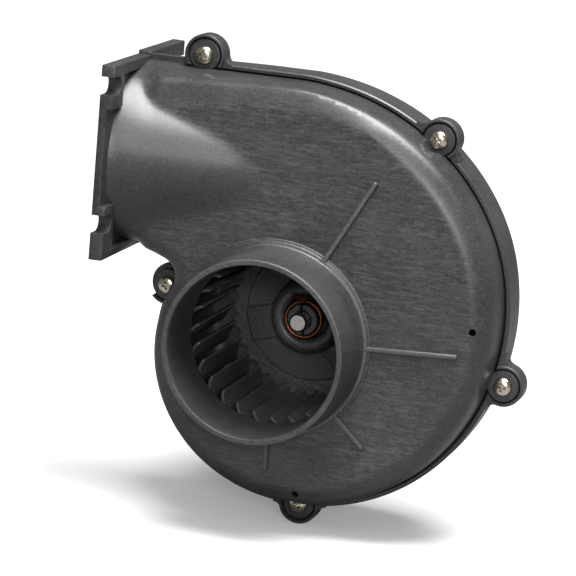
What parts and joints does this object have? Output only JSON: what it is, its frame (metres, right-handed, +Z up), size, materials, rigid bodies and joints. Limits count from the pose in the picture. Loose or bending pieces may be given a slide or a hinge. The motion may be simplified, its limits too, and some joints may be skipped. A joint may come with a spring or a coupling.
{
  "type": "centrifugal ventilation blower",
  "caption": "Scroll-housed centrifugal blower: round inlet collar, round outlet duct with slotted mounting flange, forward-curved wheel on a motor shaft.",
  "frame": {"origin": "centre of the outlet flange's outer face, on the outlet duct's axis", "axes": "+X from the flange into the housing along the outlet duct, -Y out of the inlet along the wheel's axis, +Z up as pictured"},
  "size_m": [0.1777, 0.1849, 0.2003],
  "materials": {
    "housing_plastic": "satin moulded charcoal plastic, lightly scuffed on its flat face",
    "wheel_plastic": "satin moulded charcoal plastic",
    "clamp_wire": "copper-coloured plated spring wire",
    "bright_steel": "ground bright steel",
    "nickel_plate": "warm nickel plate",
    "bolt_steel": "zinc-plated steel",
    "spring_steel": "plain spring wire",
    "black_rubber": "soft black rubber",
    "cast_aluminium": "as-cast aluminium alloy",
    "black_paint": "black paint on steel",
    "sintered_bronze": "oil-filled sintered bronze",
    "ferrite": "ground dark ferrite",
    "phenolic_board": "brown laminate board",
    "carbon": "pressed carbon",
    "lamination_steel": "stacked steel laminations",
    "winding_enamel": "enamelled copper winding",
    "commutator_copper": "turned copper",
    "washer_nylon": "natural nylon"
  },
  "bodies": {
    "housing": {"front_housing": "housing_plastic", "rear_housing": "housing_plastic", "motor_gasket": "black_rubber", "motor_front_bell": "cast_aluminium", "motor_can": "black_paint", "motor_rear_cap": "black_paint", "front_bearing": "sintered_bronze", "rear_bearing": "sintered_bronze", "field_magnet_1": "ferrite", "field_magnet_2": "ferrite", "brush_plate": "phenolic_board", "brush_1": "carbon", "brush_2": "carbon", "brush_spring_1": "spring_steel", "brush_spring_2": "spring_steel", "lead_grommet": "black_rubber", "through_bolt_1": "bolt_steel", "through_bolt_2": "bolt_steel", "housing_screw_1": "nickel_plate", "housing_screw_2": "nickel_plate", "housing_screw_3": "nickel_plate", "housing_screw_4": "nickel_plate", "housing_screw_5": "nickel_plate", "motor_screw_1": "bolt_steel", "motor_screw_2": "bolt_steel", "motor_screw_3": "bolt_steel"},
    "rotor": {"blower_wheel": "wheel_plastic", "hub_clamp": "clamp_wire", "motor_shaft": "bright_steel", "armature_core": "lamination_steel", "armature_winding_front": "winding_enamel", "armature_winding_rear": "winding_enamel", "commutator": "commutator_copper", "thrust_washer_front": "washer_nylon", "thrust_washer_rear": "washer_nylon"}
  },
  "joints": [
    {"name": "wheel_spin", "type": "hinge", "parent": "housing", "child": "rotor", "pos_m": [0.075, 0, -0.067], "axis": [0, -1, 0], "continuous": true}
  ]
}
